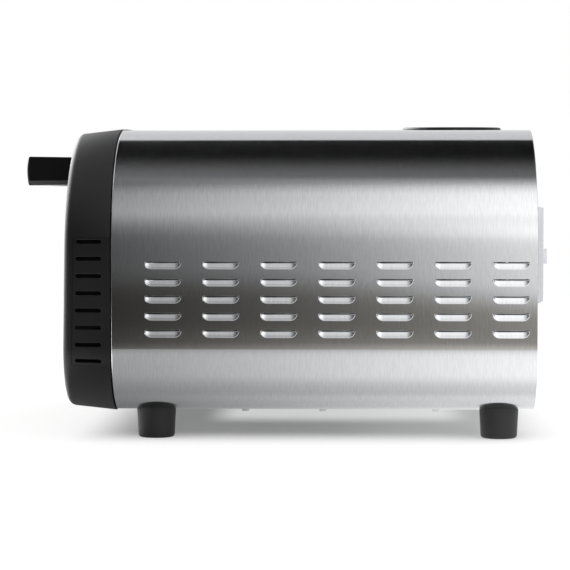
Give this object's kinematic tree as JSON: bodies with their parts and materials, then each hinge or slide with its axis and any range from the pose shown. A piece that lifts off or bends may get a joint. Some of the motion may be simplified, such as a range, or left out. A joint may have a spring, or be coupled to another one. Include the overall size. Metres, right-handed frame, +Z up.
{
  "type": "electric pizza oven",
  "caption": "Countertop electric pizza oven with a louvred brushed-steel body, black bezel, drop-down glass door with a bridge handle, control knobs and rubber feet.",
  "frame": {"origin": "middle of the footprint's bounding box, on the table", "axes": "+Z up, +Y toward the back, +X to the user's right when facing the door"},
  "size_m": [0.452, 0.476, 0.2772],
  "materials": {
    "brushed_steel": "brushed",
    "light_sheet": "satin",
    "zinc_sheet": "plain sheet",
    "black_plastic": "satin",
    "bright_steel": "polished",
    "control_body": "satin",
    "lens": "gloss",
    "mineral_wool": "matte",
    "element_steel": "oxidised",
    "porcelain": "gloss",
    "stone": "matte",
    "rubber": "matte",
    "glass": "clear"
  },
  "bodies": {
    "oven": {"outer_wrap": "brushed_steel", "base_pan": "zinc_sheet", "rear_panel": "light_sheet", "rear_cover": "light_sheet", "rear_cover_screws": "bright_steel", "cord_gland": "black_plastic", "front_chassis": "zinc_sheet", "front_bezel": "black_plastic", "control_fascia": "black_plastic", "thermostat": "control_body", "selector_switch": "control_body", "timer_unit": "control_body", "power_lamp": "lens", "heat_lamp": "lens", "chamber_floor": "zinc_sheet", "chamber_ceiling": "zinc_sheet", "chamber_left": "zinc_sheet", "chamber_right": "zinc_sheet", "chamber_back_wall": "zinc_sheet", "insulation_top": "mineral_wool", "insulation_left": "mineral_wool", "insulation_right": "mineral_wool", "upper_element": "element_steel", "lower_element": "element_steel", "upper_clips": "zinc_sheet", "lower_clips": "zinc_sheet", "element_bushings": "porcelain", "stone_ring": "zinc_sheet", "pizza_stone": "stone", "thermostat_probe": "element_steel", "thermal_cutout": "control_body", "terminal_block": "control_body", "vent_duct": "zinc_sheet", "top_vent": "black_plastic", "foot_front_left": "rubber", "foot_front_right": "rubber", "foot_rear_left": "rubber", "foot_rear_right": "rubber", "foot_screws": "bright_steel", "base_screws": "bright_steel", "hinge_bracket_left": "zinc_sheet", "hinge_bracket_right": "zinc_sheet"},
    "door": {"door_frame": "black_plastic", "door_glass": "glass", "door_pan": "zinc_sheet", "inner_glass": "glass", "door_handle": "black_plastic", "handle_screws": "bright_steel", "hinge_pin_left": "bright_steel", "hinge_pin_right": "bright_steel"},
    "heat_dial": {"heat_knob": "black_plastic", "heat_shaft": "bright_steel"},
    "selector_dial": {"selector_knob": "black_plastic", "selector_shaft": "bright_steel"},
    "timer_dial": {"timer_knob": "black_plastic", "timer_shaft": "bright_steel"}
  },
  "joints": [
    {"name": "door_hinge", "type": "hinge", "parent": "oven", "child": "door", "pos_m": [0, -0.1827, 0.1009], "axis": [1, 0, 0], "range_deg": [0, 90]},
    {"name": "heat_turn", "type": "hinge", "parent": "oven", "child": "heat_dial", "pos_m": [-0.09, -0.187, 0.0664], "axis": [0, 1, 0], "range_deg": [0, 270]},
    {"name": "selector_turn", "type": "hinge", "parent": "oven", "child": "selector_dial", "pos_m": [0, -0.187, 0.0664], "axis": [0, 1, 0], "range_deg": [0, 180]},
    {"name": "timer_turn", "type": "hinge", "parent": "oven", "child": "timer_dial", "pos_m": [0.09, -0.187, 0.0664], "axis": [0, 1, 0], "range_deg": [0, 300]}
  ]
}
